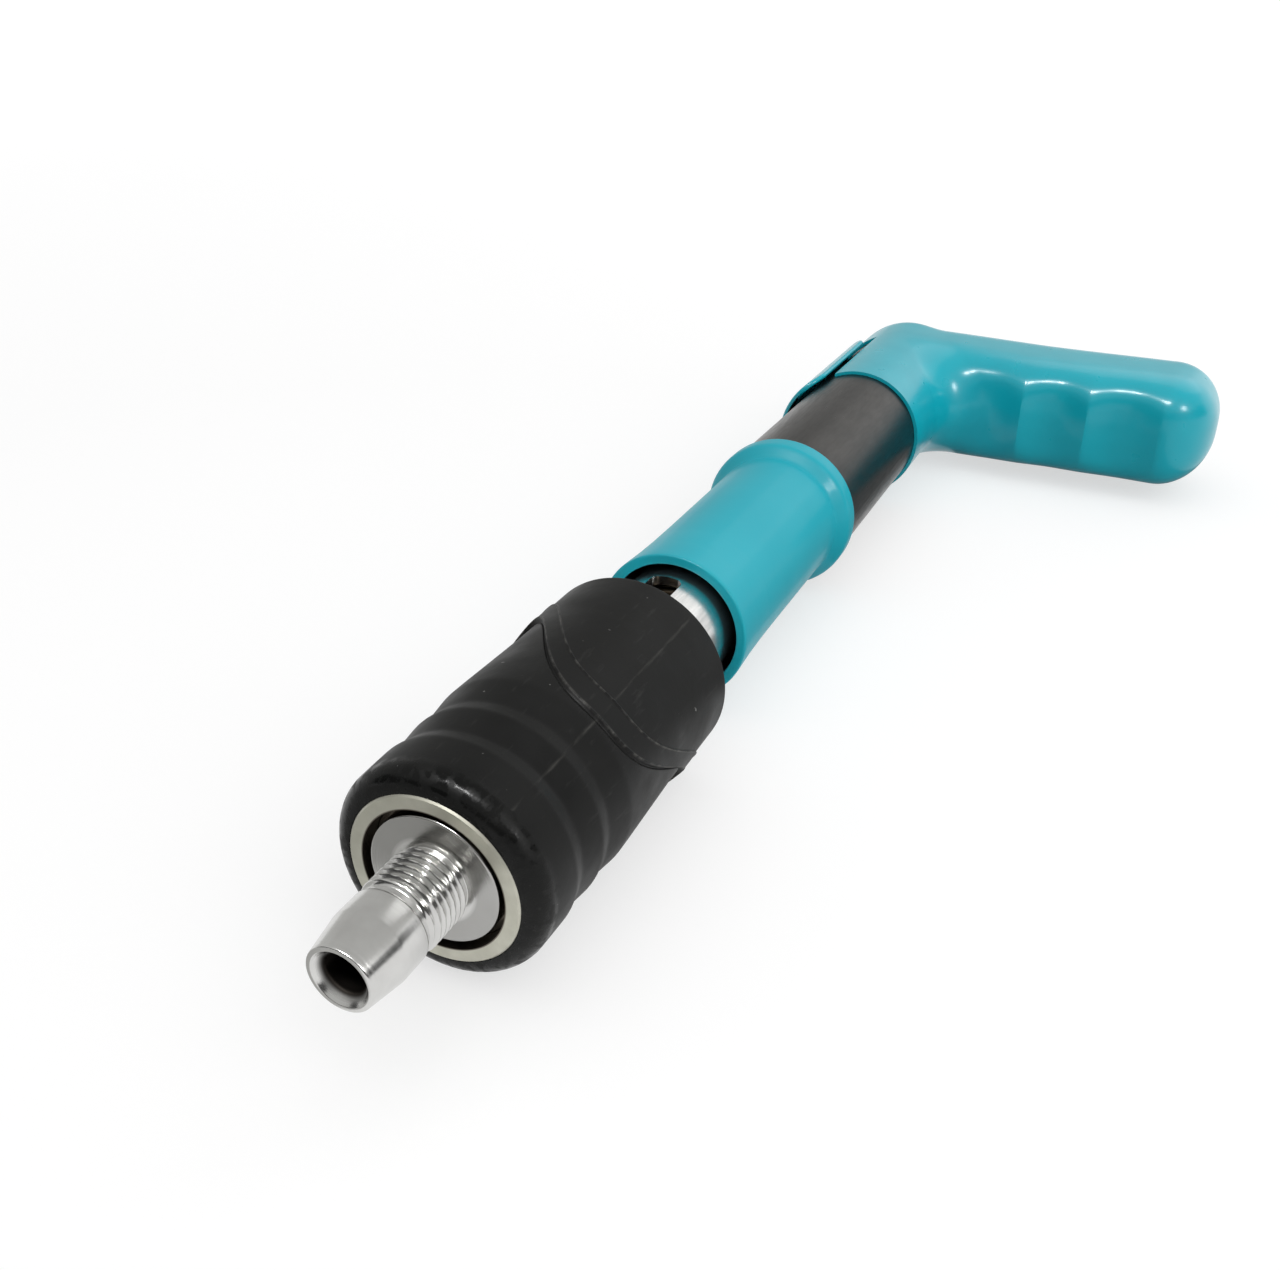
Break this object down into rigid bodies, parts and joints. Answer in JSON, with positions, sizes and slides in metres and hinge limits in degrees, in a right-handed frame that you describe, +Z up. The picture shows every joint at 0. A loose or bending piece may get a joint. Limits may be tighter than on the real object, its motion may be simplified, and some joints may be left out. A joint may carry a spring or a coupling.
{
  "type": "hand-cocked nailer",
  "caption": "Hand-cocked nailer: chromed threaded nozzle, rubber sliding grip on a slotted guide tube, collar, receiver tube and an L-shaped finger handle with a thumb release lever.",
  "frame": {"origin": "centre of the nozzle's mouth, on the barrel axis", "axes": "+X out of the muzzle along the barrel axis, +Y down the handle, +Z up, with the tool lying on its side"},
  "size_m": [0.3638, 0.135, 0.0468],
  "materials": {
    "chrome": "polished chrome plate",
    "gun_steel": "turned steel",
    "hard_steel": "hardened steel",
    "spring_steel": "oil-tempered wire",
    "black_screws": "blackened",
    "urethane": "cast urethane",
    "zinc_plate": "zinc plated, turned",
    "black_rubber": "moulded, satin",
    "black_oxide": "blackened steel, semi-gloss",
    "teal_enamel": "baked enamel, gloss",
    "teal_moulding": "moulded, gloss"
  },
  "bodies": {
    "frame": {"nozzle": "chrome", "barrel": "gun_steel", "breech_plug": "gun_steel", "buffer_ring": "urethane", "barrel_screws": "black_screws", "guide_tube": "chrome", "main_spring": "spring_steel", "firing_pin_spring": "spring_steel", "spring_seat": "gun_steel", "collar": "teal_enamel", "tube_screws": "black_screws", "receiver_tube": "black_oxide", "rod_guide": "gun_steel", "rear_plug": "gun_steel", "handle": "teal_moulding", "handle_screws": "black_screws", "lever_pin": "hard_steel", "lever_spring": "spring_steel"},
    "slide": {"slide_sleeve": "zinc_plate", "rubber_grip": "black_rubber", "drive_keys": "hard_steel", "key_screws": "black_screws", "hammer": "gun_steel", "hammer_rod": "gun_steel"},
    "pin": {"firing_pin": "gun_steel"},
    "lever": {"release_lever": "teal_enamel", "sear": "hard_steel", "sear_rivets": "hard_steel"}
  },
  "joints": [
    {"name": "grip_slide", "type": "slide", "parent": "frame", "child": "slide", "axis": [-1, 0, 0], "range_m": [0, 0.02], "stiffness_N_per_m": 1500, "springref_m": -0.012, "deforming": ["main_spring"]},
    {"name": "firing_pin_slide", "type": "slide", "parent": "frame", "child": "pin", "axis": [1, 0, 0], "range_m": [0, 0.0025], "stiffness_N_per_m": 400, "springref_m": -0.002, "deforming": ["firing_pin_spring"]},
    {"name": "release_lever_pivot", "type": "hinge", "parent": "frame", "child": "lever", "pos_m": [-0.31182, -0.0174, 0], "axis": [0, 0, 1], "range_deg": [-3, 1.3], "stiffness_Nm_per_rad": 3, "deforming": ["lever_spring"]}
  ]
}
